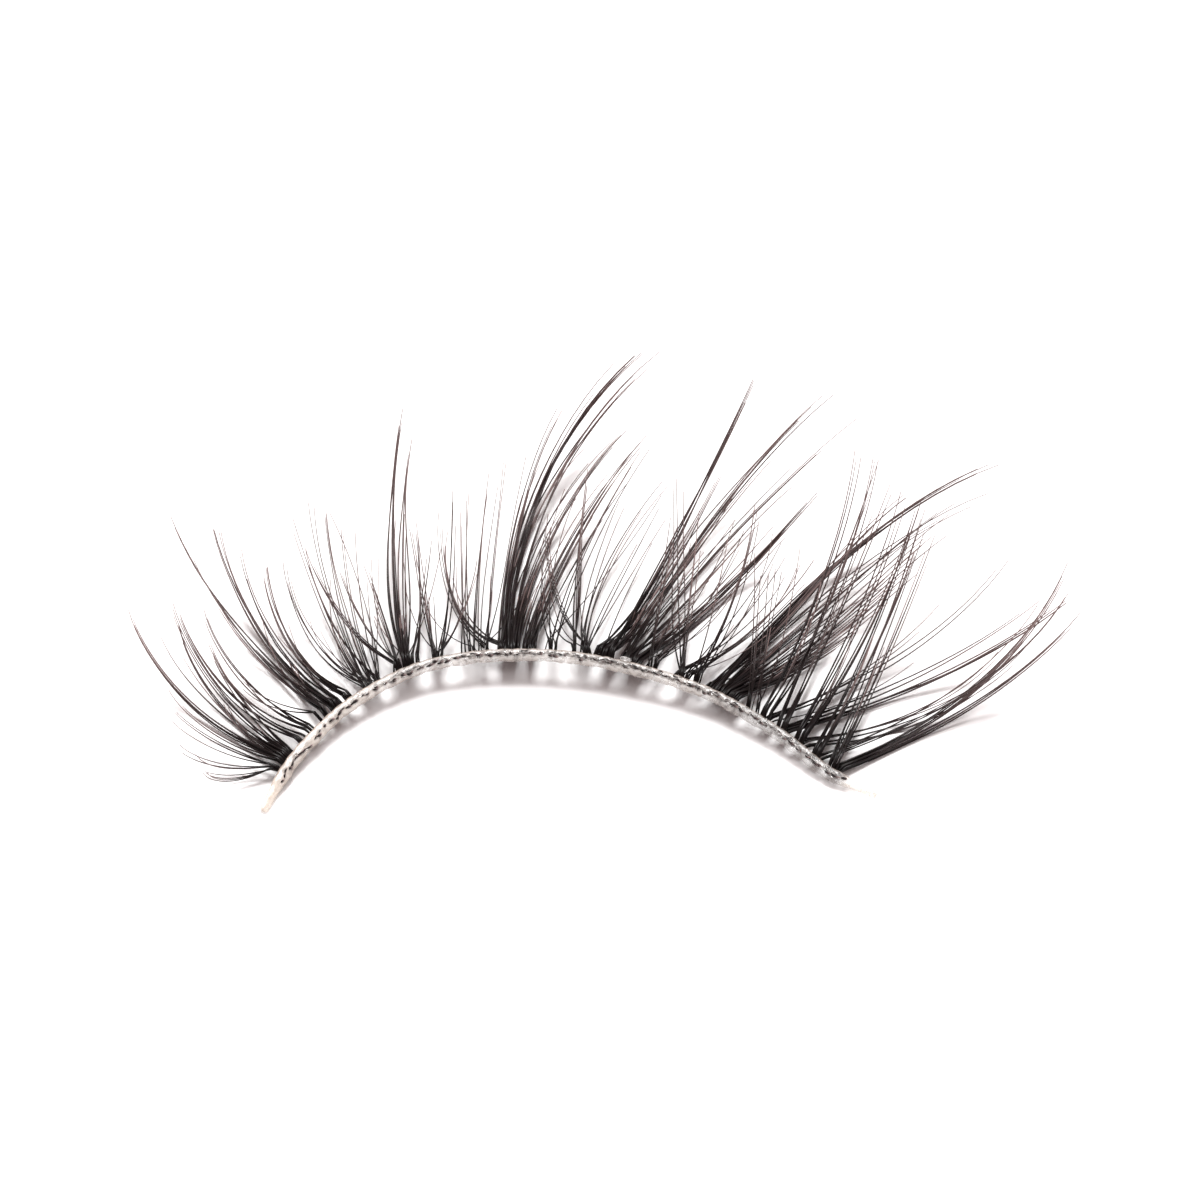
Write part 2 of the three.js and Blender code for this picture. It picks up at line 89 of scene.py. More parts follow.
# at and span: a head's middle and length, as shares of the band. belly and tier: heights, as shares of the
# band's rise.
# thin: a fibre's radius against the others'. scatter: how far its fibres' directions differ, in degrees.
# ragged: how much shorter some fibres are. strays: loose thin fibres, and splay: how far they lean out, in
# degrees.
# curl: degrees, where a lock's isn't the usual one. hook: how far the tips turn sideways, as a share of
# their length.
# wisps: place along the head, from 0 to 1 and a little past it for fibres tied beside it, azimuth, lean,
# reach as a share of the longest lash, how many fibres, and how tightly they cling into one point, from 0
# to 1.
locks = [
    {"name": "inner_low", "at": 0.062, "span": 0.014, "belly": 0.22, "tier": 0.05, "thin": 0.8,
     "scatter": 4, "ragged": 0.4, "strays": 2, "splay": 12,
     "wisps": [[0.2, 197, -5, 0.20, 2, 0.8], [0.4, 188, -8, 0.22, 2, 0.5], [0.6, 175, -10, 0.27, 2, 0.7],
               [0.9, 157, -14, 0.30, 3, 0.8]]},
    {"name": "inner_fan", "at": 0.089, "span": 0.028, "belly": 0.05, "tier": -0.05, "thin": 1,
     "scatter": 2.5, "ragged": 0.45, "strays": 4, "splay": 7,
     "wisps": [[0.05, 150, -4, 0.36, 2, 0.7], [0.14, 143, 5, 0.58, 5, 0.95], [0.25, 140, 2, 0.50, 2, 0.7],
               [0.46, 136, 6, 0.46, 3, 0.9], [0.65, 132, 1, 0.51, 3, 0.9], [0.85, 128, -3, 0.37, 3, 0.8],
               [0.4, 140, 2, 0.22, 6, 0.3]]},
    {"name": "inner_pair", "at": 0.135, "span": 0.018, "belly": 0.10, "tier": -0.10, "thin": 1.1,
     "scatter": 2, "ragged": 0.5, "strays": 1, "splay": 6,
     "wisps": [[-0.5, 139, 8, 0.52, 3, 0.95], [0.3, 145, 4, 0.34, 3, 0.9], [0.9, 139, 6, 0.44, 3, 0.9]]},
    {"name": "inner_curl", "at": 0.1545, "span": 0.010, "belly": 0.60, "tier": 0.25, "thin": 0.8,
     "scatter": 2, "ragged": 0.2, "strays": 0, "splay": 6,
     "wisps": [[0.5, 158, -9, 0.22, 2, 0.5]]},
    {"name": "inner_tall", "at": 0.190, "span": 0.048, "belly": 0.0, "tier": 0.0, "thin": 1,
     "scatter": 2.5, "ragged": 0.5, "strays": 7, "splay": 8,
     "wisps": [[0.04, 130, -6, 0.48, 2, 0.7], [0.08, 127.5, -5, 0.70, 4, 0.95], [0.4, 127, 4, 0.64, 4, 0.95],
               [0.5, 129, 7, 0.61, 2, 0.9], [0.7, 130, 9, 0.53, 3, 0.9], [0.85, 130, 13, 0.46, 3, 0.8],
               [1.0, 130, 15, 0.48, 3, 0.9], [0.5, 133, 3, 0.22, 8, 0.3]]},
    {"name": "cross_left", "at": 0.248, "span": 0.030, "belly": 0.14, "tier": -0.14, "thin": 0.8,
     "scatter": 3, "ragged": 0.35, "strays": 6, "splay": 18,
     "wisps": [[0.1, 110, -4, 0.57, 2, 0.6], [0.3, 111, 3, 0.55, 2, 0.7], [0.55, 108, 4, 0.54, 3, 0.9],
               [0.75, 105, 4, 0.49, 2, 0.7], [0.97, 100, 3, 0.44, 2, 0.3], [0.85, 121, 4, 0.45, 3, 0.7],
               [0.0, 129, 12, 0.44, 3, 0.85], [0.3, 132, 8, 0.40, 2, 0.8], [0.5, 120, 0, 0.22, 4, 0.3]]},
    {"name": "spike", "at": 0.300, "span": 0.028, "belly": 0.40, "tier": 0.16, "thin": 0.95,
     "scatter": 3, "ragged": 0.45, "strays": 5, "splay": 16,
     "wisps": [[0.0, 126, -1, 0.46, 3, 0.7], [0.1, 118, -4, 0.34, 3, 0.6], [0.07, 98, -14, 0.34, 4, 0.5],
               [0.42, 99, 13, 0.75, 5, 0.97], [0.65, 97, 12, 0.69, 3, 0.95], [0.5, 101, 12, 0.46, 3, 0.7],
               [0.75, 96, 6, 0.44, 2, 0.8], [0.95, 86, 4, 0.38, 2, 0.7], [1.2, 88, -4, 0.40, 2, 0.6],
               [0.6, 98, 4, 0.18, 10, 0.2]]},
    {"name": "small_pair", "at": 0.343, "span": 0.018, "belly": 0.40, "tier": 0.0, "thin": 0.8,
     "scatter": 2.5, "ragged": 0.35, "strays": 3, "splay": 24,
     "wisps": [[0.1, 96, -4, 0.44, 3, 0.6], [0.85, 87, 0, 0.48, 4, 0.6], [0.9, 72, 4, 0.30, 2, 0.5],
               [0.5, 96, 0, 0.20, 4, 0.2]]},
    {"name": "small_trio", "at": 0.393, "span": 0.036, "belly": 0.30, "tier": 0.0, "thin": 0.75,
     "scatter": 3, "ragged": 0.3, "strays": 6, "splay": 26,
     "wisps": [[0.1, 93, 0, 0.50, 2, 0.5], [0.3, 92, 4, 0.51, 2, 0.4], [0.5, 91, 8, 0.54, 2, 0.6],
               [0.8, 89, 9, 0.57, 2, 0.5], [1.0, 88, 9, 0.60, 2, 0.5], [0.9, 118, 16, 0.45, 3, 0.6]]},
    {"name": "grand", "at": 0.452, "span": 0.050, "belly": 0.0, "tier": -0.10, "thin": 1.08, "hook": 0.045,
     "scatter": 2.5, "ragged": 0.55, "strays": 8, "splay": 9,
     "wisps": [[0.0, 91, 12, 0.60, 3, 0.6], [0.06, 91, 17, 0.76, 4, 0.85], [0.17, 92, 31, 0.92, 3, 0.9],
               [0.26, 93, 39, 1.0, 5, 0.93], [0.36, 91, 39, 0.99, 5, 0.95], [0.42, 90, 33, 0.66, 4, 0.5],
               [0.52, 87, 30, 0.74, 4, 0.8], [0.68, 85, 29, 0.62, 3, 0.5], [0.82, 82, 27, 0.70, 3, 0.8],
               [0.96, 82, 25, 0.72, 3, 0.9], [0.9, 78, 22, 0.58, 3, 0.5], [0.0, 128, 20, 0.42, 4, 0.5],
               [0.3, 91, 10, 0.26, 8, 0.3], [0.5, 89, 18, 0.36, 5, 0.4], [0.7, 85, 12, 0.24, 7, 0.3]]},
    {"name": "small_knot", "at": 0.496, "span": 0.016, "belly": 0.68, "tier": 0.18, "thin": 0.75,
     "scatter": 3, "ragged": 0.3, "strays": 3, "splay": 26,
     "wisps": [[0.2, 96, 28, 0.54, 2, 0.5], [0.8, 82, 28, 0.66, 3, 0.6]]},
    {"name": "cross_mid", "at": 0.535, "span": 0.022, "belly": 0.18, "tier": 0.0, "thin": 0.85,
     "scatter": 3, "ragged": 0.35, "strays": 4, "splay": 26,
     "wisps": [[0.15, 91, 7, 0.56, 5, 0.9], [0.6, 90, 22, 0.52, 2, 0.5], [0.9, 89, 38, 0.62, 3, 0.6],
               [1.0, 116, 16, 0.46, 3, 0.7], [0.95, 78, 22, 0.50, 3, 0.3]]},
    {"name": "fan_left", "at": 0.569, "span": 0.024, "belly": 0.10, "tier": 0.08, "thin": 1,
     "scatter": 3, "ragged": 0.55, "strays": 4, "splay": 12,
     "wisps": [[0.1, 68, 12, 0.46, 2, 0.4], [0.3, 66, 12, 0.72, 3, 0.9], [0.55, 65, 13, 0.54, 2, 0.6],
               [0.85, 72, 15, 0.92, 6, 0.97], [1.0, 64, 17, 0.60, 4, 0.6], [0.6, 66, 8, 0.22, 9, 0.3]]},
    {"name": "fan_right", "at": 0.606, "span": 0.030, "belly": 0.0, "tier": -0.10, "thin": 1, "hook": 0.03,
     "scatter": 3, "ragged": 0.6, "strays": 8, "splay": 10,
     "wisps": [[0.05, 69, 24, 0.78, 2, 0.7], [0.25, 73, 31, 0.99, 6, 0.97], [0.42, 67, 27, 0.74, 2, 0.8],
               [0.4, 61, 22, 0.56, 3, 0.4], [0.6, 67, 31, 0.97, 3, 0.9], [0.72, 57, 17, 0.58, 3, 0.4],
               [0.82, 55, 17, 0.70, 4, 0.8], [0.97, 55, 16, 0.70, 4, 0.93], [0.5, 58, 8, 0.25, 9, 0.3]]},
    {"name": "mid_tuft", "at": 0.638, "span": 0.014, "belly": 0.60, "tier": 0.18, "thin": 0.75,
     "scatter": 4, "ragged": 0.3, "strays": 4, "splay": 22,
     "wisps": [[0.2, 84, 6, 0.44, 3, 0.5], [0.8, 62, 6, 0.48, 3, 0.5]]},
    {"name": "mid_sweep", "at": 0.682, "span": 0.018, "belly": 0.40, "tier": 0.0, "thin": 0.75,
     "scatter": 3, "ragged": 0.3, "strays": 4, "splay": 18,
     "wisps": [[0.1, 90, 0, 0.57, 3, 0.7], [0.3, 84, 2, 0.50, 2, 0.4], [0.0, 38, -4, 0.46, 3, 0.5],
               [0.6, 57, 10, 0.50, 2, 0.4], [0.9, 50, 14, 0.50, 3, 0.4]]},
    {"name": "mid_up", "at": 0.703, "span": 0.012, "belly": 0.60, "tier": 0.20, "thin": 0.85,
     "scatter": 2, "ragged": 0.3, "strays": 2, "splay": 16,
     "wisps": [[0.5, 70, -1, 0.52, 5, 0.5]]},
    {"name": "wing", "at": 0.738, "span": 0.048, "belly": 0.0, "tier": -0.12, "thin": 1, "hook": 0.07,
     "scatter": 2.5, "ragged": 0.6, "strays": 8, "splay": 8,
     "wisps": [[0.08, 54, 10, 0.62, 3, 0.4], [0.15, 57, 17, 0.75, 4, 0.9], [0.30, 61.8, 37, 1.0, 8, 0.95],
               [0.42, 57, 33, 0.90, 3, 0.9], [0.45, 54, 20, 0.58, 3, 0.5], [0.52, 52, 20, 0.82, 3, 0.8],
               [0.62, 48, 15, 0.78, 3, 0.8], [0.7, 48, 14, 0.55, 2, 0.5], [0.8, 47, 14, 0.74, 3, 0.8],
               [0.9, 45, 13, 0.73, 4, 0.7], [1.0, 41, 12, 0.62, 2, 0.5], [0.95, 37, 10, 0.50, 3, 0.5],
               [0.35, 48, 8, 0.26, 7, 0.3], [0.8, 42, 8, 0.24, 5, 0.3]]},
    {"name": "thin_uprights", "at": 0.784, "span": 0.016, "belly": 0.60, "tier": 0.22, "thin": 0.75,
     "scatter": 3, "ragged": 0.3, "strays": 2, "splay": 12,
     "wisps": [[0.2, 85, 0, 0.43, 3, 0.4], [0.8, 77, 0, 0.49, 3, 0.4]]},
    {"name": "outer_up_1", "at": 0.807, "span": 0.012, "belly": 0.55, "tier": 0.15, "thin": 1,
     "scatter": 1.2, "ragged": 0.3, "strays": 0, "splay": 8,
     "wisps": [[0.1, 66, -2, 0.78, 3, 0.5], [0.9, 65, -1, 0.77, 3, 0.5], [0.5, 65, -2, 0.40, 2, 0.2]]},
    {"name": "outer_side_1", "at": 0.815, "span": 0.010, "belly": 0.05, "tier": -0.15, "thin": 0.9, "curl": 62,
     "scatter": 2, "ragged": 0.4, "strays": 1, "splay": 8,
     "wisps": [[0.2, 35, 4, 0.66, 2, 0.4], [0.8, 33, 5, 0.76, 2, 0.8]]},
    {"name": "outer_up_2", "at": 0.833, "span": 0.012, "belly": 0.35, "tier": 0.10, "thin": 1,
     "scatter": 1.2, "ragged": 0.3, "strays": 0, "splay": 8,
     "wisps": [[0.1, 73, 10, 0.77, 3, 0.5], [0.9, 71, 10, 0.78, 3, 0.5], [0.5, 72, 10, 0.40, 2, 0.2]]},
    {"name": "outer_side_2", "at": 0.841, "span": 0.010, "belly": 0.04, "tier": -0.15, "thin": 1, "curl": 58,
     "scatter": 1.5, "ragged": 0.4, "strays": 0, "splay": 6,
     "wisps": [[0.2, 29, 16, 0.76, 2, 0.85], [0.8, 27, 16, 0.80, 4, 0.95]]},
    {"name": "outer_up_3", "at": 0.864, "span": 0.012, "belly": 0.50, "tier": 0.15, "thin": 1,
     "scatter": 1.2, "ragged": 0.3, "strays": 0, "splay": 8,
     "wisps": [[0.1, 65, 3, 0.72, 3, 0.5], [0.9, 63, 3, 0.73, 3, 0.5], [0.5, 64, 3, 0.38, 2, 0.2]]},
    {"name": "outer_side_3", "at": 0.872, "span": 0.010, "belly": 0.02, "tier": -0.15, "thin": 0.9, "curl": 60,
     "scatter": 2, "ragged": 0.45, "strays": 1, "splay": 6,
     "wisps": [[0.2, 19, 2, 0.56, 2, 0.5], [0.8, 17, 0, 0.63, 3, 0.85]]},
    {"name": "outer_up_4", "at": 0.895, "span": 0.012, "belly": 0.32, "tier": 0.12, "thin": 1,
     "scatter": 1.2, "ragged": 0.3, "strays": 0, "splay": 8,
     "wisps": [[0.1, 68, 5, 0.71, 3, 0.5], [0.9, 66, 5, 0.72, 3, 0.5], [0.5, 67, 5, 0.38, 2, 0.2]]},
    {"name": "outer_side_4", "at": 0.903, "span": 0.010, "belly": 0.24, "tier": -0.12, "thin": 0.9, "curl": 67,
     "scatter": 1.5, "ragged": 0.4, "strays": 0, "splay": 6,
     "wisps": [[0.2, 24, -2, 0.70, 1, 0.7], [0.8, 22, -2, 0.76, 3, 0.9]]},
    {"name": "outer_up_5", "at": 0.926, "span": 0.012, "belly": 0.42, "tier": 0.15, "thin": 1,
     "scatter": 1.2, "ragged": 0.3, "strays": 0, "splay": 8,
     "wisps": [[0.1, 70, 7, 0.71, 3, 0.5], [0.9, 69, 8, 0.71, 3, 0.5], [0.5, 69, 8, 0.38, 2, 0.2]]},
    {"name": "outer_side_5", "at": 0.937, "span": 0.012, "belly": 0.0, "tier": -0.10, "thin": 1, "curl": 65,
     "scatter": 1.5, "ragged": 0.4, "strays": 0, "splay": 6,
     "wisps": [[0.1, 30.5, -9, 0.80, 5, 0.97], [0.5, 30, -4, 0.68, 2, 0.9], [0.9, 31.5, 10, 0.74, 3, 0.95]]},
]

up = np.array([0.0, 0.0, 1.0])
tilt = np.radians(band["tilt"])


def unit(vectors):
    # Each vector divided by its length.
    return vectors / np.linalg.norm(vectors, axis=-1, keepdims=True)


def smoothStep(low, high, value):
    # 0 up to low, 1 from high on, and 3 t**2 - 2 t**3 between them.
    t = np.clip((value - low) / (high - low), 0, 1)
    return t * t * (3 - 2 * t)


def makeCourse(samples=160):
    # The band's course: between two of its points, a cubic whose slope at each is half the step between the
    # points on both sides of it.
    tailSeat = (band["tailWidth"] * np.sin(tilt) + band["tailThickness"] * np.cos(tilt)) / 2
    points = np.stack([
        np.array(band["along"]) * band["span"],
        np.array(band["bow"]) * band["depth"],
        tailSeat + np.array(band["height"]) * band["rise"],
    ], axis=1)
    padded = np.vstack([2 * points[0] - points[1], points, 2 * points[-1] - points[-2]])
    slopes = (padded[2:] - padded[:-2]) / 2
    u = np.linspace(0, 1, samples, endpoint=False)[None, :, None]
    start, end = points[:-1, None], points[1:, None]
    slopeStart, slopeEnd = slopes[:-1, None], slopes[1:, None]
    curve = ((2 * u**3 - 3 * u**2 + 1) * start + (u**3 - 2 * u**2 + u) * slopeStart
             + (3 * u**2 - 2 * u**3) * end + (u**3 - u**2) * slopeEnd)
    curve = np.vstack([curve.reshape(-1, 3), points[-1]])
    lengths = np.concatenate([[0], np.cumsum(np.linalg.norm(np.diff(curve, axis=0), axis=1))])
    return curve, lengths / lengths[-1], lengths[-1]


courseCurve, courseShare, bandLength = makeCourse()


def courseAt(share):
    # The course's point at a share of its length.
    return np.stack([np.interp(share, courseShare, courseCurve[:, k]) for k in range(3)], axis=-1)


def bandFrame(share):
    # At a share of the band's length: its centre, then the ways along it, level and outward, across the
    # ribbon (outward turned up by the tilt) and out of its face.
    share = np.asarray(share, float)
    step = 0.002
    along = unit(courseAt(np.minimum(share + step, 1)) - courseAt(np.maximum(share - step, 0)))
    outward = unit(np.cross(up, along))
    across = outward * np.cos(tilt) + up * np.sin(tilt)
    return courseAt(share), along, outward, across, unit(np.cross(along, across))


def fullness(share):
    # 0 on the bare tails and 1 on the full ribbon, with a smooth step between.
    fromEnd = np.minimum(share, 1 - share)
    return smoothStep(band["tailShare"] * 0.6, band["tailShare"] * 1.4, fromEnd)


def ribbonSize(share):
    # The tail's width and thickness, plus fullness times what the full ribbon has more.
    full = fullness(share)
    width = band["tailWidth"] + (band["width"] - band["tailWidth"]) * full
    thickness = band["tailThickness"] + (band["thickness"] - band["tailThickness"]) * full
    return width, thickness


def cadOffset():
    # The frame's origin is at the middle of the strip's box, so the same ribbon is worked out here, and the
    # middles of the two ribbons' boxes give the shift between them.
    share = np.linspace(0, 1, band["steps"] + 1)
    centre, _, _, across, face = bandFrame(share)
    width, thickness = ribbonSize(share)
    corners = np.concatenate([
        centre + across * (width * a / 2)[:, None] + face * (thickness * b / 2)[:, None]
        for a in (-1, 1) for b in (-1, 1)
    ])
    low, high = (np.array(corner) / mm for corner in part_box("clear_band"))
    return (low + high) / 2 - (corners.min(0) + corners.max(0)) / 2


offset = cadOffset()


def makeObject(name, vertices, faces, uv, material):
    # vertices are in millimetres before the offset; uv has one pair for each vertex.
    mesh = bpy.data.meshes.new(name)
    mesh.from_pydata(((vertices + offset) * mm).tolist(), [], faces)
    mesh.polygons.foreach_set("use_smooth", np.full(len(mesh.polygons), True))
    layer = mesh.uv_layers.new(name="UVMap")
    corner = np.empty(len(mesh.loops), np.int32)
    mesh.loops.foreach_get("vertex_index", corner)
    layer.data.foreach_set("uv", uv[corner].astype(np.float32).ravel())
    mesh.materials.append(material)
    mesh.update()
    piece = bpy.data.objects.new(name, mesh)
    bpy.context.scene.collection.objects.link(piece)
    return piece


def sweepFaces(rings, sides, count=1):
    # Quads between neighbouring rings and a fan to each end point, for count shells with the same number of
    # points.
    row = np.arange(rings - 1)[:, None] * sides
    column = np.arange(sides)[None]
    following = (column + 1) % sides
    quads = np.stack([row + column, row + following, row + sides + following, row + sides + column], -1)
    last = (rings - 1) * sides
    caps = np.concatenate([
        np.stack([following[0], column[0], np.full(sides, rings * sides)], -1),
        np.stack([last + column[0], last + following[0], np.full(sides, rings * sides + 1)], -1),
    ])
    shell = (np.arange(count) * (rings * sides + 2))[:, None, None]
    allQuads = (quads.reshape(1, -1, 4) + shell).reshape(-1, 4)
    allCaps = (caps[None] + shell).reshape(-1, 3)
    return allQuads.tolist() + allCaps.tolist()


def tubes(paths, radii, reference, sides, tint):
    # A ring of points is carried along each path: centre + radius * (cos * side + sin * other), with a
    # point at each end.
    count, rings, _ = paths.shape
    direction = unit(np.gradient(paths, axis=1))
    side = unit(reference - (reference * direction).sum(-1, keepdims=True) * direction)
    other = np.cross(direction, side)
    angle = np.linspace(0, 2 * np.pi, sides, endpoint=False)
    cosine, sine = np.cos(angle)[:, None], np.sin(angle)[:, None]
    ring = paths[:, :, None] + radii[:, :, None, None] * (cosine * side[:, :, None] + sine * other[:, :, None])
    ends = np.stack([
        paths[:, 0] - direction[:, 0] * radii[:, 0, None],
        paths[:, -1] + direction[:, -1] * radii[:, -1, None],
    ], axis=1)
    vertices = np.concatenate([ring.reshape(count, -1, 3), ends], axis=1).reshape(-1, 3)
    shareAlong = np.concatenate([np.repeat(np.linspace(0, 1, rings), sides), [0, 1]])
    uv = np.stack([np.repeat(tint, rings * sides + 2), np.tile(shareAlong, count)], -1)
    return vertices, sweepFaces(rings, sides, count), uv


def strandCurves(root, azimuth, lean, dip, length, cut, rings, curl):
    # Plane curves: each starts along its azimuth, dipped, and turns towards its curl direction by
    # turn * share ** curlPower. cut is the share of the curve that the fibre reaches.
    share = np.linspace(0, 1, rings)[None] * cut[:, None]
    start = np.stack([np.cos(azimuth) * np.cos(dip), np.sin(azimuth) * np.cos(dip), -np.sin(dip)], -1)
    side = np.stack([np.sin(azimuth), -np.cos(azimuth), np.zeros_like(azimuth)], -1)
    bend = np.cross(side, start) * np.cos(lean)[:, None] + side * np.sin(lean)[:, None]
    angle = (np.radians(curl) + dip)[:, None] * share ** lash["curlPower"]
    direction = np.cos(angle)[..., None] * start[:, None] + np.sin(angle)[..., None] * bend[:, None]
    step = (direction[:, 1:] + direction[:, :-1]) / 2 * (np.diff(share, axis=1) * length[:, None])[..., None]
    curve = root[:, None] + np.concatenate([np.zeros((len(root), 1, 3)), np.cumsum(step, axis=1)], axis=1)
    return curve, unit(np.cross(start, bend))


def findDips(root, azimuth, lean, length, belly, curl):
    # The dip that brings each curve's lowest point down to its belly, found by halving.
    low, high = np.zeros(len(root)), np.full(len(root), np.pi / 3)
    whole = np.ones(len(root))
    for _ in range(14):
        middle = (low + high) / 2
        curve, _ = strandCurves(root, azimuth, lean, middle, length, whole, 20, curl)
        above = curve[:, :, 2].min(1) > belly
        low, high = np.where(above, middle, low), np.where(above, high, middle)
    return low


def fibrePlan(lock, random):
    # One row for each fibre: its wisp's place, azimuth, lean and reach, how far it strays and how tightly
    # it clings.
    wisps = np.array(lock["wisps"], float)
    rows = np.repeat(wisps, wisps[:, 4].astype(int), axis=0)
    rows, cling = rows[:, :4], rows[:, 5]
    strays = wisps[random.integers(0, len(wisps), lock["strays"]), :4]
    swing = random.uniform(-1, 1, lock["strays"]) * lock["splay"]
    strays[:, 0] = random.uniform(0, 1, lock["strays"])
    strays[:, 3] *= random.uniform(0.55, 0.95, lock["strays"])
    rows = np.vstack([rows, strays])
    swing = np.concatenate([np.zeros(len(cling)), swing])
    cling = np.concatenate([cling, np.zeros(lock["strays"])])
    return rows, swing, cling


def headOf(lock):
    # The middle of a lock's head: out from the band's centre to past the ribbon's edge, and up by its tier.
    # Then the level ways along and out of it.
    centre, _, outward, _, _ = bandFrame(lock["at"])
    acrossEdge = band["width"] * np.cos(tilt) + band["thickness"] * np.sin(tilt)
    reachOut = (acrossEdge + lash["headDepth"]) / 2 + lash["seatGap"]
    head = centre + outward * reachOut + up * (band["width"] * np.sin(tilt) / 2 + lock["tier"] * band["rise"])
    return head, unit(np.cross(outward, up)), outward


def rootPaths(lock, root, azimuth, firstPoints):
    # From a point under the ribbon straight to the fibre's first point. The point under the ribbon lies
    # back from the head against the fibre's own direction.
    head, level, outward = headOf(lock)
    start = np.stack([np.cos(azimuth), np.sin(azimuth), np.zeros(len(root))], -1)
    slant = np.clip((start @ level) / np.maximum(start @ outward, 0.5), -1.1, 1.1)
    share = lock["at"] + ((root - head) @ level - slant * lash["rootReach"]) / bandLength
    centre, _, _, across, face = bandFrame(share)
    under = centre + across * (band["width"] / 2 - lash["rootReach"]) - face * (band["thickness"] / 2 + 0.06)
    back = np.linspace(0, 1, lash["rootSegments"] + 1)[:-1][None, :, None]
    return under[:, None] * (1 - back) + firstPoints[:, None] * back


def fibreRadii(thick, cling):
    # thick * swell * point + the tip's radius: swelling at the root, thinner from half way, and 1 - t**6 at
    # a sharp wisp's point or 1 - t**3 at a loose fibre's.
    t = np.linspace(0, 1, lash["segments"] + 1)
    swell = 1 + lash["rootSwell"] * (1 - smoothStep(0, 0.14, t))
    swell = swell * (1 - lash["thinning"] * smoothStep(0, 0.45, t))
    point = 1 - t ** np.where(cling > 0.9, 6, 3)[:, None]
    taper = np.hstack([np.full((len(cling), lash["rootSegments"]), swell[0]), swell * point])
    return lash["tipRadius"] + (thick[:, None] - lash["tipRadius"]) * taper


def lockFibres(lock, order):
    # A fibre's curve = its own curve * (1 - pull) + its wisp's curve * pull, and pull grows along it up to
    # its cling.
    # Its tip then turns sideways by hook * length * share ** hookPower.
    random = np.random.default_rng(lash["seed"] + order)
    rows, swing, cling = fibrePlan(lock, random)
    total = len(rows)
    place, azimuth, lean, reach = rows.T
    head, level, _ = headOf(lock)
    headLength = lock["span"] * bandLength
    wispRoot = head + level * ((place - 0.5) * headLength)[:, None]
    crowd = headLength * lash["crowding"] / max(len(lock["wisps"]), 2)
    root = wispRoot + level * random.uniform(-1, 1, (total, 1)) * crowd
    scatter = lash["rootScatter"]
    root = root + up * random.uniform(-scatter, scatter, (total, 1)) * lash["headHeight"]
    ownAzimuth = np.radians(azimuth + swing + random.normal(0, lock["scatter"], total))
    ownLean = np.radians(lean + swing * 0.6 + random.normal(0, lock["scatter"], total))
    azimuth, lean = np.radians(azimuth), np.radians(lean)
    length = reach * lash["longest"]
    cut = 1 - lock["ragged"] * (1.2 - cling) * random.random(total) ** 1.3
    belly = lash["floorGap"] + lock["belly"] * band["rise"] + random.uniform(0, lash["bellyScatter"], total)
    rings = lash["segments"] + 1
    curl = lock.get("curl", lash["curl"])
    dip = findDips(wispRoot, azimuth, lean, length, belly, curl)
    path, _ = strandCurves(wispRoot, azimuth, lean, dip, length, cut, rings, curl)
    own, planeNormal = strandCurves(root, ownAzimuth, ownLean, dip, length, cut, rings, curl)
    share = np.linspace(0, 1, rings)[None] * cut[:, None]
    pull = (cling[:, None] * smoothStep(*lash["pull"], share))[..., None]
    curve = own * (1 - pull) + path * pull
    sideways = np.stack([np.sin(azimuth), -np.cos(azimuth), np.zeros(total)], -1)
    turn = lock.get("hook", 0) * length[:, None] * share ** lash["hookPower"]
    curve = curve + sideways[:, None] * turn[..., None]
    curve[:, :, 2] = np.maximum(curve[:, :, 2], lash["radius"] * 1.2)
    curve = np.concatenate([rootPaths(lock, root, ownAzimuth, curve[:, 0]), curve], axis=1)
    thick = lash["radius"] * lock["thin"] * np.where(cling > 0, 1, lash["strayThin"])
    thick = thick * random.uniform(*lash["thickness"], total)
    return curve, fibreRadii(thick, cling), planeNormal[:, None], random.random(total)


def shaderOf(name, values):
    # A new material, its shader's sockets set to the given values, and its node tree.
    material = bpy.data.materials.new(name)
    material.use_nodes = True
    tree = material.node_tree
    shader = tree.nodes["Principled BSDF"]
    for socket, value in values.items():
        shader.inputs[socket].default_value = value
    return material, tree, shader


def addRamp(tree, source, stops, interpolation="LINEAR"):
    # A colour ramp over the source, from a list of (position, colour).
    ramp = tree.nodes.new("ShaderNodeValToRGB")
    ramp.color_ramp.interpolation = interpolation
    stopList = ramp.color_ramp.elements
    while len(stopList) < len(stops):
        stopList.new(0.5)
    for stop, (position, color) in zip(stopList, stops):
        stop.position = position
        stop.color = color if len(color) == 4 else (*color, 1)
    tree.links.new(source, ramp.inputs["Fac"])
    return ramp.outputs["Color"]


def addNoise(tree, vector, scale, detail=2.0, stretch=(1, 1, 1)):
    # Noise over the vector, stretched; its value runs from 0 to 1.
    mapping = tree.nodes.new("ShaderNodeMapping")
    mapping.inputs["Scale"].default_value = stretch
    noise = tree.nodes.new("ShaderNodeTexNoise")
    noise.inputs["Scale"].default_value = scale
    noise.inputs["Detail"].default_value = detail
    tree.links.new(vector, mapping.inputs["Vector"])
    tree.links.new(mapping.outputs["Vector"], noise.inputs["Vector"])
    return noise.outputs["Fac"]


def addMath(tree, operation, first, second):
    # One operation on two values or outputs. A sum or a difference is kept between 0 and 1.
    math = tree.nodes.new("ShaderNodeMath")
    math.operation = operation
    math.use_clamp = operation in ("ADD", "SUBTRACT")
    for place, value in enumerate((first, second)):
        if isinstance(value, (int, float)):
            math.inputs[place].default_value = value
        else:
            tree.links.new(value, math.inputs[place])
    return math.outputs[0]


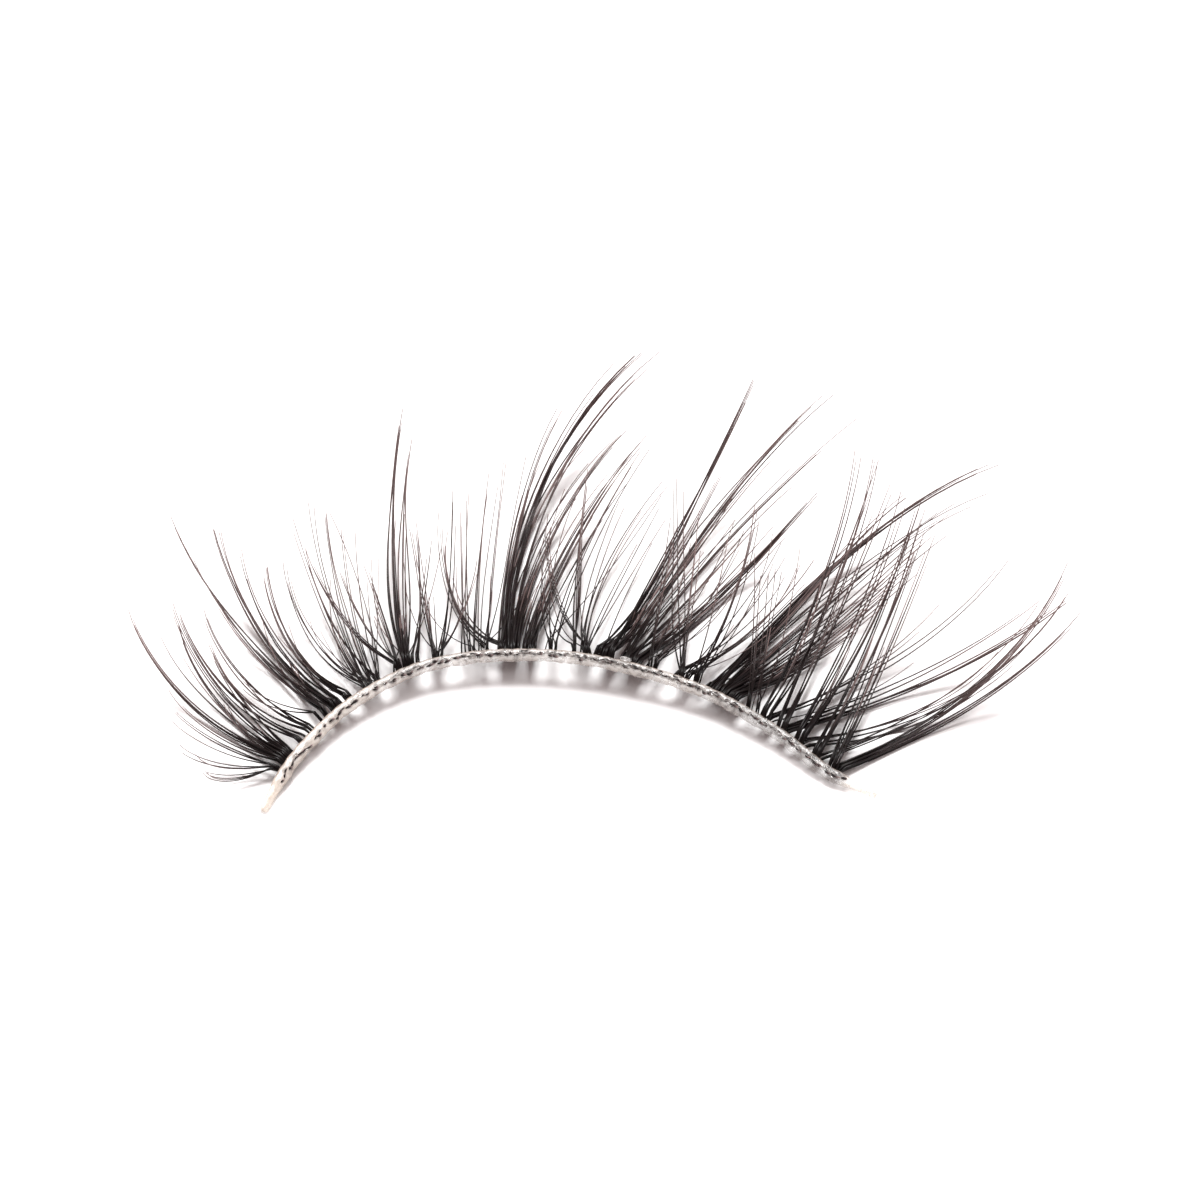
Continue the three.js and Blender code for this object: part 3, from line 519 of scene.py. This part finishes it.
def addMix(tree, share, first, second):
    # first * (1 - share) + second * share, for two colours.
    mix = tree.nodes.new("ShaderNodeMix")
    mix.data_type = "RGBA"
    for socket, value in ((mix.inputs[0], share), (mix.inputs[6], first), (mix.inputs[7], second)):
        if isinstance(value, (int, float, tuple)):
            socket.default_value = value
        else:
            tree.links.new(value, socket)
    return mix.outputs[2]


def addBump(tree, shader, height, distance):
    # The shader's normal follows a height from 0 to 1, times the distance in metres.
    bump = tree.nodes.new("ShaderNodeBump")
    bump.inputs["Distance"].default_value = distance
    tree.links.new(height, bump.inputs["Height"])
    tree.links.new(bump.outputs["Normal"], shader.inputs["Normal"])


def uvOf(tree):
    # The piece's own UV: its first part and its second part, and the whole vector.
    uv = tree.nodes.new("ShaderNodeUVMap")
    uv.uv_map = "UVMap"
    split = tree.nodes.new("ShaderNodeSeparateXYZ")
    tree.links.new(uv.outputs["UV"], split.inputs[0])
    return split.outputs["X"], split.outputs["Y"], uv.outputs["UV"]


# brown, tip and pale lighten a fibre towards its end: partly the fibre's own brown, partly painted light
# shining through the thin tips.
hairLook = {
    "black": (0.003, 0.002, 0.002),
    "dark": (0.010, 0.007, 0.007),
    "brown": (0.05, 0.034, 0.033),
    "tip": (0.15, 0.105, 0.10),
    "paleLitThroughTip": (0.34, 0.25, 0.24),
    "roughness": 0.3,
    "gloss": 0.15,
    "scales": 0.000004,   # height of the fine ripple along a fibre, in metres
}


def makeHairMaterial():
    # Near black at the root and lighter towards the tip, partly the fibre's own brown and partly painted
    # light shining through the thin tips; each fibre a little different, with a fine ripple along it.
    material, tree, shader = shaderOf("lashHair", {
        "Roughness": hairLook["roughness"], "Specular IOR Level": hairLook["gloss"], "IOR": 1.55})
    tint, along, uv = uvOf(tree)
    # painted light: both ramps lighten towards the tip, standing in for light shining through the thin fibre
    # ends as well as the fibre's own brown.
    alongColor = addRamp(tree, along, [
        (0.0, hairLook["black"]), (0.4, hairLook["dark"]), (0.78, hairLook["brown"]), (1.0, hairLook["tip"])])
    paleLitThroughRamp = addRamp(tree, along, [
        (0.0, hairLook["black"]), (0.25, hairLook["dark"]), (0.5, hairLook["brown"]), (0.95, hairLook["paleLitThroughTip"])])
    tree.links.new(addMix(tree, tint, alongColor, paleLitThroughRamp), shader.inputs["Base Color"])
    addBump(tree, shader, addNoise(tree, uv, 60, 2, (40, 1, 1)), hairLook["scales"])
    return material


hairMaterial = makeHairMaterial()

fibreCount = 0
for order, lock in enumerate(locks):
    paths, radii, reference, tint = lockFibres(lock, order)
    shell = tubes(paths, radii, reference, lash["sides"], tint)
    piece = makeObject(lock["name"] + "_fibres", *shell, hairMaterial)
    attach(piece, "root")
    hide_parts(lock["name"])
    fibreCount += len(paths)
print("lash fibres:", fibreCount)


film = {
    "topTrim": 0.12,      # the lash roots cover this much of the ribbon's top edge
    "lowTrim": 0.10,      # and it thins out this much before its lower edge
    "wave": 0.03,         # how far the lower edge wanders
    "rings": 720,
    "sides": 24,
    "tail": (0.72, 0.64, 0.55),
    "cream": (0.58, 0.525, 0.47),
    "milk": (0.52, 0.485, 0.455),
    "clear": (0.42, 0.41, 0.40),
    "edge": (0.30, 0.23, 0.18),
    "wrinkle": 0.00001,
    "tailSpread": 1.2,    # how much wider the film is than the ribbon at its tails
}


def makeFilm():
    # A flattened oval along the band: across runs from the wandering lower edge to the trimmed top edge as
    # cos ** 0.7, and the thickness follows sin ** 0.8.
    share = np.linspace(0, 1, film["rings"])
    centre, _, _, across, face = bandFrame(share)
    width, thickness = ribbonSize(share)
    length = share * bandLength
    full = fullness(share)
    width = width * (film["tailSpread"] + (1 - film["tailSpread"]) * full)
    wander = 0.5 * np.sin(length * 5.3) + 0.3 * np.sin(length * 12.1 + 2) + 0.35 * np.sin(length * 2.3 + 1)
    low = -width / 2 + film["lowTrim"] * full + film["wave"] * wander * full
    high = width / 2 - film["topTrim"] * full + 0.012 * np.sin(length * 9.1) * full
    angle = np.linspace(0, 2 * np.pi, film["sides"], endpoint=False)
    flat = np.sign(np.cos(angle)) * np.abs(np.cos(angle)) ** 0.7
    deep = np.sign(np.sin(angle)) * np.abs(np.sin(angle)) ** 0.8
    endRound = np.sqrt(np.clip(1 - (1 - np.minimum(share, 1 - share) / 0.006).clip(0) ** 2, 0.02, 1))
    place = (low + high)[:, None] / 2 + (high - low)[:, None] / 2 * flat * endRound[:, None]
    lift = thickness[:, None] / 2 * deep * endRound[:, None] * (1 + 0.12 * np.sin(length * 7.7 + 1)[:, None])
    ring = centre[:, None] + across[:, None] * place[..., None] + face[:, None] * lift[..., None]
    vertices = np.concatenate([ring.reshape(-1, 3), centre[[0, -1]]])
    v = (place - low[:, None]) / (high - low)[:, None]
    uv = np.stack([np.repeat(share, film["sides"]), v.ravel()], -1)
    return vertices, sweepFaces(*ring.shape[:2]), np.vstack([uv, [0, 0.5], [1, 0.5]])


def makeFilmMaterial():
    # Cream and dense at the inner tail, milky in the middle, clearer outwards, with clear blisters.
    material, tree, shader = shaderOf("clearFilm", {
        "Roughness": 0.25, "IOR": 1.45, "Specular IOR Level": 0.5, "Coat Weight": 0.3, "Coat Roughness": 0.1})
    share, across, uv = uvOf(tree)
    blotch = addNoise(tree, uv, 1.0, 3, (130, 3.5, 1))
    fine = addNoise(tree, uv, 1.0, 2, (420, 9, 1))
    shade = addRamp(tree, share, [
        (0.03, film["tail"]), (0.06, film["cream"]), (0.16, film["cream"]), (0.34, film["milk"]),
        (0.7, film["milk"]), (0.8, film["clear"]), (0.945, film["clear"]), (0.965, film["tail"])])
    rim = addRamp(tree, across, [(0.0, (0.3,) * 3), (0.1, (0.0,) * 3), (0.88, (0.0,) * 3), (0.97, (0.8,) * 3)])
    rimEnds = addRamp(tree, share, [
        (0.03, (0.0,) * 3), (0.07, (1.0,) * 3), (0.93, (1.0,) * 3), (0.97, (0.0,) * 3)])
    rim = addMath(tree, "MULTIPLY", rim, rimEnds)
    tree.links.new(addMix(tree, rim, shade, (*film["edge"], 1)), shader.inputs["Base Color"])
    dense = addRamp(tree, share, [
        (0.0, (0.55,) * 3), (0.045, (0.95,) * 3), (0.2, (0.9,) * 3), (0.36, (0.8,) * 3), (0.62, (0.8,) * 3),
        (0.78, (0.7,) * 3), (0.95, (0.6,) * 3), (0.97, (0.45,) * 3)])
    milkBand = addRamp(tree, across, [
        (0.0, (0.7,) * 3), (0.3, (0.75,) * 3), (0.62, (0.9,) * 3), (1.0, (1.0,) * 3)])
    clouds = addRamp(tree, blotch, [(0.4, (0.4,) * 3), (0.56, (1.0,) * 3)])
    cloudy = addRamp(tree, share, [(0.12, (0.35,) * 3), (0.4, (1.0,) * 3)])
    clouds = addMix(tree, cloudy, (0.92, 0.92, 0.92, 1), clouds)
    alpha = addMath(tree, "MULTIPLY", addMath(tree, "MULTIPLY", dense, milkBand), clouds)
    tree.links.new(alpha, shader.inputs["Alpha"])
    addBump(tree, shader, addMath(tree, "ADD", blotch, addMath(tree, "MULTIPLY", fine, 0.5)), film["wrinkle"])
    return material


filmMaterial = makeFilmMaterial()
ribbon = makeObject("clear_ribbon", *makeFilm(), filmMaterial)
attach(ribbon, "root")
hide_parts("clear_band")

thread = {
    "place": 0.12,        # across the ribbon, as a share of its width
    "lift": 0.075,        # of its centre above the ribbon's face
    "plyRadius": 0.036,
    "twistRadius": 0.03,
    "turns": 50,
    "rings": 1300,
    "sides": 7,
    "wobble": 0.035,
}


def threadLine(share):
    # The thread's centre: the band's centre + place * width across + half the thickness and its lift along
    # the face.
    centre, along, _, across, face = bandFrame(share)
    width, thickness = ribbonSize(share)
    length = share * bandLength
    sway = thread["wobble"] * (np.sin(length * 6.1) + 0.6 * np.sin(length * 14.3 + 1))
    place = (thread["place"] * band["width"] - film["topTrim"] / 2 + sway)[..., None]
    return centre + across * place + face * (thickness / 2 + thread["lift"])[..., None], along, across, face


def makeThread():
    # Two plies wound round each other: centre + twistRadius * (cos * across + sin * face), half a turn apart.
    ends = band["tailShare"] * 1.4
    share = np.linspace(ends, 1 - ends, thread["rings"])
    line, _, across, face = threadLine(share)
    turn = np.linspace(0, 2 * np.pi * thread["turns"], len(share))
    wound = thread["twistRadius"] * (np.cos(turn)[:, None] * across + np.sin(turn)[:, None] * face)
    paths = np.stack([line + wound, line - wound])
    swell = thread["plyRadius"] * (1 + 0.15 * np.sin(share * bandLength * 8.3))
    return tubes(paths, np.stack([swell, swell]), face[None], thread["sides"], np.array([0.2, 0.8]))


def makeThreadMaterial():
    # Silvery nylon in clear glue, with dark flecks where hair ends are caught under it.
    material, tree, shader = shaderOf("silverThread", {
        "Roughness": 0.2, "IOR": 1.5, "Specular IOR Level": 0.9, "Metallic": 0.25, "Coat Weight": 0.8,
        "Coat Roughness": 0.05})
    _, along, uv = uvOf(tree)
    flecks = addNoise(tree, uv, 1.0, 2, (3, 100, 1))
    color = addRamp(tree, flecks, [
        (0.38, (0.03, 0.026, 0.026)), (0.44, (0.3, 0.29, 0.28)),
        (0.54, (0.5, 0.48, 0.46)), (0.7, (0.75, 0.73, 0.70))])
    tree.links.new(color, shader.inputs["Base Color"])
    shown = addRamp(tree, along, [(0.1, (0.12,) * 3), (0.45, (1.0,) * 3)])
    caught = addRamp(tree, flecks, [(0.36, (0.95,) * 3), (0.5, (0.45,) * 3)])
    tree.links.new(addMath(tree, "MULTIPLY", caught, shown), shader.inputs["Alpha"])
    addBump(tree, shader, addNoise(tree, uv, 1.0, 2, (6, 700, 1)), 0.00001)
    return material


threadPiece = makeObject("twisted_thread", *makeThread(), makeThreadMaterial())
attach(threadPiece, "root")
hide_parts("knot_thread")
print("film and thread made")

knots = {
    "count": 104,
    "length": [0.16, 0.44],
    "radius": [0.035, 0.075],
    "leftDrop": 0.10,     # how much lower the ends lie at the inner side
    "beads": 110,
    "beadRadius": [0.025, 0.07],
    "dab": {"at": 0.6, "radius": [0.3, 0.13, 0.1], "across": 0.30},
    "seed": 5,
}


def makeRootEnds():
    # Tied hair ends: short spindles beside the thread, radius * sin(pi * share) ** 0.6, slightly turned and
    # bowed.
    random = np.random.default_rng(knots["seed"])
    ends = band["tailShare"] * 1.1
    count = knots["count"]
    share = np.linspace(ends, 1 - ends, count) + random.uniform(-0.004, 0.004, count)
    middle, along, across, face = threadLine(share)
    drop = knots["leftDrop"] * (1 - smoothStep(0.25, 0.45, share))[:, None]
    middle = middle + across * (random.uniform(-0.10, 0.05, (count, 1)) - drop)
    middle = middle - face * random.uniform(0.0, 0.05, (count, 1))
    turned = unit(along + across * random.uniform(-0.35, 0.35, (count, 1)))
    length = random.uniform(*knots["length"], count)
    radius = random.uniform(*knots["radius"], count)
    t = np.linspace(0, 1, 9)
    paths = middle[:, None] + turned[:, None] * ((t - 0.5)[None, :, None] * length[:, None, None])
    bow = 0.05 * np.sin(np.pi * t)[None, :, None] * random.uniform(-1, 1, (count, 1, 1))
    paths = paths + across[:, None] * bow
    radii = radius[:, None] * (np.sin(np.pi * np.clip(t, 0.04, 0.96)) ** 0.6)[None]
    return tubes(paths, radii, face[:, None], 6, random.random(count))


def makeBeads(centres, radii, axes):
    # Drops of glue: centre + the three radii * a sphere's longitude and latitude grid, with a point at each
    # pole.
    turn = np.linspace(0, 2 * np.pi, 10, endpoint=False)
    slope = np.linspace(-np.pi / 2, np.pi / 2, 7)[1:-1]
    ball = np.stack([
        np.cos(slope)[:, None] * np.cos(turn), np.cos(slope)[:, None] * np.sin(turn),
        np.repeat(np.sin(slope)[:, None], len(turn), 1),
    ], -1)
    shell = np.concatenate([ball.reshape(-1, 3), [[0, 0, -1.0], [0, 0, 1.0]]])
    points = centres[:, None] + np.einsum("vk,bk,bkx->bvx", shell, radii, axes)
    uv = np.tile((shell[:, :2] + 1) / 2, (len(centres), 1))
    return points.reshape(-1, 3), sweepFaces(*ball.shape[:2], len(centres)), uv


def beadPlan():
    # Drops along the thread line, and one wider dab of glue on the ribbon's top edge.
    random = np.random.default_rng(knots["seed"] + 1)
    ends = band["tailShare"] * 1.3
    count = knots["beads"]
    share = ends + (1 - 2 * ends) * random.random(count) ** 0.6
    middle, along, across, face = threadLine(share)
    middle = middle + across * random.normal(-0.03, 0.07, (count, 1))
    middle = middle + face * random.uniform(-0.03, 0.03, (count, 1))
    size = random.uniform(*knots["beadRadius"], (count, 1)) * np.array([[1.5, 0.8, 0.6]])
    dab = knots["dab"]
    dabShare = np.array([dab["at"]])
    dabMiddle, dabAlong, dabAcross, dabFace = threadLine(dabShare)
    middle = np.vstack([middle, dabMiddle + dabAcross * dab["across"]])
    size = np.vstack([size, dab["radius"]])
    ways = ((along, dabAlong), (across, dabAcross), (face, dabFace))
    axes = np.stack([np.vstack(pair) for pair in ways], 1)
    return makeBeads(middle, size, axes)


def makeGlueMaterial():
    # Clear, wet and lumpy, with a trace of milk.
    material, tree, shader = shaderOf("clearGlue", {
        "Roughness": 0.06, "IOR": 1.48, "Specular IOR Level": 1.0, "Coat Weight": 1.0, "Coat Roughness": 0.03})
    position = tree.nodes.new("ShaderNodeTexCoord").outputs["Object"]
    lumps = addNoise(tree, position, 9000, 2)
    color = addRamp(tree, lumps, [(0.35, (0.95, 0.94, 0.92)), (0.65, (0.6, 0.59, 0.58))])
    tree.links.new(color, shader.inputs["Base Color"])
    tree.links.new(addRamp(tree, lumps, [(0.35, (0.5,) * 3), (0.65, (0.12,) * 3)]), shader.inputs["Alpha"])
    addBump(tree, shader, lumps, 0.00002)
    return material


rootEnds = makeObject("tied_root_ends", *makeRootEnds(), hairMaterial)
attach(rootEnds, "root")
glueDrops = makeObject("glue_drops", *beadPlan(), makeGlueMaterial())
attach(glueDrops, "root")
print("tied ends and glue made")

view = {
    "elevation": 50,
    "lens": 150,
    "sensor": 36,
    "aim": [1.36, 11.1, 2.0],
    "picture": 1200,
    "millimetresPerPixel": 0.047,
}


def makeCamera():
    # It stands back from the aim along the view's slope, as far as makes a pixel the stated width there.
    camera = bpy.data.objects.new("camera", bpy.data.cameras.new("camera"))
    bpy.context.scene.collection.objects.link(camera)
    camera.data.lens = view["lens"]
    camera.data.sensor_width = view["sensor"]
    camera.data.clip_start = 0.001
    elevation = np.radians(view["elevation"])
    distance = view["picture"] * view["millimetresPerPixel"] * view["lens"] / view["sensor"]
    backward = np.array([0, -np.cos(elevation), np.sin(elevation)])
    camera.location = (np.array(view["aim"]) + offset + backward * distance) * mm
    camera.rotation_euler = (np.radians(90 - view["elevation"]), 0, 0)
    bpy.context.scene.camera = camera


light = {
    "from": [[0, 110, 300], [0, -90, 300]],
    "strength": [4.5, 0.45],
    "spread": 26,         # the width of each lamp as seen from the strip, in degrees
    "ambient": 0.34,
    "tint": (1.0, 0.76, 0.74),
    "horizon": (0.86, 0.84, 0.84),
    "floor": (0.9, 0.9, 0.9),
    "floorPale": (0.92, 0.92, 0.92),
}


def makeStudio():
    # A white floor, two soft lamps from above, and a dim warm room that is pale near the horizon.
    bpy.ops.mesh.primitive_plane_add(size=4)
    floor = bpy.context.object
    floor.name = "floor"
    white, tree, shader = shaderOf("whiteSurface", {"Roughness": 0.9})
    position = tree.nodes.new("ShaderNodeTexCoord").outputs["Object"]
    patches = addNoise(tree, position, 300, 2)
    tone = addRamp(tree, patches, [(0.3, light["floor"]), (0.7, light["floorPale"])])
    tree.links.new(tone, shader.inputs["Base Color"])
    floor.data.materials.append(white)
    for place, strength in zip(light["from"], light["strength"]):
        lamp = bpy.data.objects.new("softBox", bpy.data.lights.new("softBox", "SUN"))
        bpy.context.scene.collection.objects.link(lamp)
        lamp.data.angle = np.radians(light["spread"])
        lamp.data.energy = strength
        lamp.location = np.array(place) * mm
        lamp.rotation_mode = "QUATERNION"
        lamp.rotation_quaternion = (-Vector(place)).to_track_quat("-Z", "Y")
    world = bpy.data.worlds.new("world")
    bpy.context.scene.world = world
    world.use_nodes = True
    tree = world.node_tree
    height = tree.nodes.new("ShaderNodeSeparateXYZ")
    tree.links.new(tree.nodes.new("ShaderNodeTexCoord").outputs["Generated"], height.inputs[0])
    above = tuple(light["ambient"] * part for part in light["tint"])
    sky = addRamp(tree, height.outputs["Z"], [(0.1, light["horizon"]), (0.2, above)])
    tree.links.new(sky, tree.nodes["Background"].inputs["Color"])
    bpy.context.scene.view_settings.view_transform = "Standard"


makeCamera()
makeStudio()
print("camera and light set")
